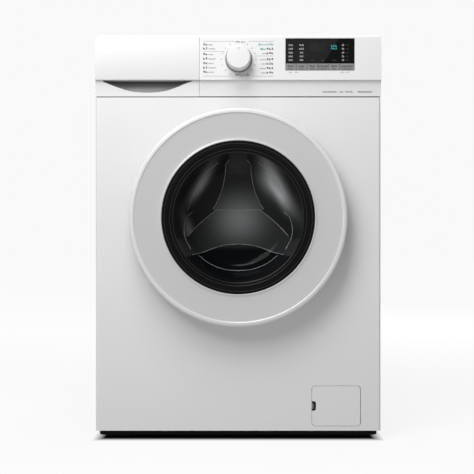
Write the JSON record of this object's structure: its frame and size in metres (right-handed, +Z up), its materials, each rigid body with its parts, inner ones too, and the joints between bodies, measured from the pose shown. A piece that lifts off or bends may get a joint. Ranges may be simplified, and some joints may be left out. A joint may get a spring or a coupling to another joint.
{
  "type": "front load washing machine",
  "caption": "Front loading washing machine: white cabinet with round glass door, detergent drawer, program knob, display and keys, sprung tub with spinning drum inside.",
  "frame": {"origin": "on the floor under the middle of the machine's outer box", "axes": "+Z up, the door and controls face -Y, +X is to the right of someone facing the machine"},
  "size_m": [0.596, 0.58, 0.845],
  "materials": {
    "white_enamel": "satin",
    "white_plastic": "satin",
    "white_laminate": "satin",
    "ring_grey_plastic": "satin",
    "key_grey_plastic": "satin",
    "tray_grey_plastic": "satin",
    "black_acrylic": "gloss",
    "black_gloss_plastic": "gloss",
    "smoked_glass": "polished",
    "black_plastic": "matte",
    "grey_rubber": "matte",
    "black_rubber": "matte",
    "tub_plastic": "matte",
    "stainless_steel": "satin",
    "zinc_steel": "satin",
    "cast_aluminium": "satin",
    "concrete": "matte",
    "circuit_board": "satin"
  },
  "bodies": {
    "cabinet": {"right_side_panel": "white_enamel", "left_side_panel": "white_enamel", "rear_panel": "white_enamel", "rear_service_cover": "white_enamel", "worktop": "white_laminate", "front_panel": "white_enamel", "base_plinth": "black_plastic", "control_fascia": "white_plastic", "display_window": "black_acrylic", "control_board": "circuit_board", "dispenser_housing": "tub_plastic", "drain_pump": "tub_plastic", "inlet_valve": "tub_plastic", "cable_gland": "black_rubber", "sump_hose": "black_rubber", "door_hinge_bracket": "zinc_steel", "door_lock": "black_plastic", "door_gasket": "grey_rubber", "left_spring": "zinc_steel", "right_spring": "zinc_steel", "left_damper_tube": "black_plastic", "right_damper_tube": "black_plastic"},
    "wash_unit": {"tub_front": "tub_plastic", "tub_rear": "tub_plastic", "upper_counterweight": "concrete", "lower_counterweight": "concrete", "heater": "stainless_steel", "motor": "cast_aluminium", "drive_belt": "black_rubber", "bearing_set": "stainless_steel", "left_damper_rod": "zinc_steel", "right_damper_rod": "zinc_steel"},
    "drum": {"drum_shell": "stainless_steel", "lifter_1": "white_plastic", "lifter_2": "white_plastic", "lifter_3": "white_plastic", "drum_spider": "cast_aluminium", "drum_pulley": "cast_aluminium"},
    "rotor": {"motor_pulley": "zinc_steel"},
    "door": {"door_outer_frame": "ring_grey_plastic", "door_window_bezel": "black_gloss_plastic", "door_glass": "smoked_glass", "door_inner_frame": "ring_grey_plastic", "door_hinge_arm": "cast_aluminium"},
    "latch": {"latch_hook": "zinc_steel"},
    "drawer": {"drawer_front": "white_plastic", "drawer_tray": "tray_grey_plastic"},
    "knob": {"program_knob": "white_plastic"},
    "flap": {"filter_flap": "white_plastic"},
    "filter": {"pump_filter": "tray_grey_plastic"},
    "key_body_1": {"key_1": "key_grey_plastic"},
    "key_body_2": {"key_2": "key_grey_plastic"},
    "key_body_3": {"key_3": "key_grey_plastic"},
    "key_body_4": {"key_4": "key_grey_plastic"},
    "key_body_5": {"key_5": "key_grey_plastic"},
    "key_body_6": {"key_6": "key_grey_plastic"},
    "levelling_foot_front_left": {"foot_front_left": "black_rubber"},
    "levelling_foot_front_right": {"foot_front_right": "black_rubber"},
    "levelling_foot_rear_left": {"foot_rear_left": "black_rubber"},
    "levelling_foot_rear_right": {"foot_rear_right": "black_rubber"}
  },
  "joints": [
    {"name": "door_swing", "type": "hinge", "parent": "cabinet", "child": "door", "pos_m": [-0.212, -0.268, 0.464], "axis": [0, 0, -1], "range_deg": [0, 110]},
    {"name": "latch_pivot", "type": "hinge", "parent": "door", "child": "latch", "pos_m": [0.196, -0.2565, 0.464], "axis": [0, 0, 1], "range_deg": [0, 10], "stiffness_Nm_per_rad": 0.05},
    {"name": "drawer_slide", "type": "slide", "parent": "cabinet", "child": "drawer", "axis": [0, -1, 0], "range_m": [0, 0.2]},
    {"name": "knob_turn", "type": "hinge", "parent": "cabinet", "child": "knob", "pos_m": [0.001, -0.26, 0.794], "axis": [0, -1, 0], "continuous": true},
    {"name": "tub_suspension", "type": "slide", "parent": "cabinet", "child": "wash_unit", "axis": [0, 0, 1], "range_m": [-0.01, 0.01], "stiffness_N_per_m": 14000, "springref_m": 0.01685, "deforming": ["left_spring", "right_spring", "door_gasket", "sump_hose"]},
    {"name": "drum_spin", "type": "hinge", "parent": "wash_unit", "child": "drum", "pos_m": [0, 0, 0.464], "axis": [0, -1, 0], "continuous": true},
    {"name": "motor_spin", "type": "hinge", "parent": "wash_unit", "child": "rotor", "pos_m": [0, 0.2, 0.136], "axis": [0, -1, 0], "continuous": true},
    {"name": "flap_swing", "type": "hinge", "parent": "cabinet", "child": "flap", "pos_m": [0.2548, -0.2458, 0.07065], "axis": [0, 0, 1], "range_deg": [0, 75]},
    {"name": "filter_turn", "type": "hinge", "parent": "cabinet", "child": "filter", "pos_m": [0.205, -0.2, 0.072], "axis": [0, -1, 0], "range_deg": [0, 90]},
    {"name": "key_press_1", "type": "slide", "parent": "cabinet", "child": "key_body_1", "axis": [0, 1, 0], "range_m": [0, 0.0012], "stiffness_N_per_m": 900, "springref_m": -0.0004},
    {"name": "key_press_2", "type": "slide", "parent": "cabinet", "child": "key_body_2", "axis": [0, 1, 0], "range_m": [0, 0.0012], "stiffness_N_per_m": 900, "springref_m": -0.0004},
    {"name": "key_press_3", "type": "slide", "parent": "cabinet", "child": "key_body_3", "axis": [0, 1, 0], "range_m": [0, 0.0012], "stiffness_N_per_m": 900, "springref_m": -0.0004},
    {"name": "key_press_4", "type": "slide", "parent": "cabinet", "child": "key_body_4", "axis": [0, 1, 0], "range_m": [0, 0.0012], "stiffness_N_per_m": 900, "springref_m": -0.0004},
    {"name": "key_press_5", "type": "slide", "parent": "cabinet", "child": "key_body_5", "axis": [0, 1, 0], "range_m": [0, 0.0012], "stiffness_N_per_m": 900, "springref_m": -0.0004},
    {"name": "key_press_6", "type": "slide", "parent": "cabinet", "child": "key_body_6", "axis": [0, 1, 0], "range_m": [0, 0.0012], "stiffness_N_per_m": 900, "springref_m": -0.0004},
    {"name": "foot_front_left_height", "type": "slide", "parent": "cabinet", "child": "levelling_foot_front_left", "axis": [0, 0, -1], "range_m": [0, 0.012]},
    {"name": "foot_front_right_height", "type": "slide", "parent": "cabinet", "child": "levelling_foot_front_right", "axis": [0, 0, -1], "range_m": [0, 0.012]},
    {"name": "foot_rear_left_height", "type": "slide", "parent": "cabinet", "child": "levelling_foot_rear_left", "axis": [0, 0, -1], "range_m": [0, 0.012]},
    {"name": "foot_rear_right_height", "type": "slide", "parent": "cabinet", "child": "levelling_foot_rear_right", "axis": [0, 0, -1], "range_m": [0, 0.012]}
  ],
  "couplings": [
    {"joint": "motor_spin", "follows": "drum_spin", "ratio": 13}
  ]
}
